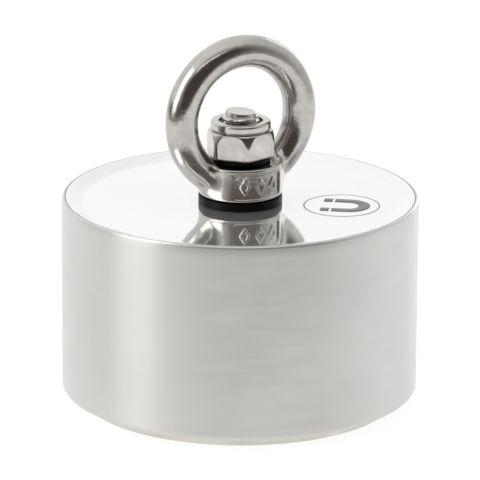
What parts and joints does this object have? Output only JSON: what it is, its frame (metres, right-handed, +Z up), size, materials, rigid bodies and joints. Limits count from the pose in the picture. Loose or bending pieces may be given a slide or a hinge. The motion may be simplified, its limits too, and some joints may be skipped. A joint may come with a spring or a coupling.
{
  "type": "fishing magnet",
  "caption": "Clad round pot magnet with a swivelling lifting eye on top, for pulling iron out of water on a rope.",
  "frame": {"origin": "centre of the pull face, the face that the magnet stands on", "axes": "+Z up along the bolt's axis, away from the pull face; the eye ring lies in the XZ plane at rest, so its hole runs along Y; the boss's marked panel faces -Y"},
  "size_m": [0.097, 0.097, 0.1016],
  "materials": {
    "sleeve_steel": "polished stainless cladding",
    "plate_steel": "mirror-polished stainless plate",
    "pot_iron": "machined and nickel-plated iron",
    "magnet": "nickel-plated sintered magnet",
    "resin": "cast potting resin",
    "bush_brass": "turned brass",
    "fastener_steel": "stainless fastener",
    "zinc_steel": "zinc-plated steel",
    "seal_rubber": "moulded rubber",
    "black_nylon": "turned black nylon",
    "white_nylon": "turned natural nylon",
    "forged_steel": "forged and polished stainless steel",
    "insert_nylon": "moulded nylon",
    "label_ink": "printed film"
  },
  "bodies": {
    "magnet": {"outer_sleeve": "sleeve_steel", "top_plate": "plate_steel", "steel_pot": "pot_iron", "magnet_ring_bottom": "magnet", "magnet_ring_middle": "magnet", "magnet_ring_top": "magnet", "resin_ring": "resin", "core_bush": "bush_brass", "bolt": "fastener_steel", "pot_lock_nut": "zinc_steel", "bolt_seal": "seal_rubber", "plate_seal": "seal_rubber", "foot_seal": "seal_rubber", "lower_washer": "black_nylon", "upper_washer": "black_nylon", "lock_nut": "fastener_steel", "nut_insert": "insert_nylon", "round_label": "label_ink"},
    "eye": {"eye": "forged_steel", "eye_bush": "white_nylon"}
  },
  "joints": [
    {"name": "eye_swivel", "type": "hinge", "parent": "magnet", "child": "eye", "pos_m": [0, 0, 0.06215], "axis": [0, 0, 1], "continuous": true}
  ]
}
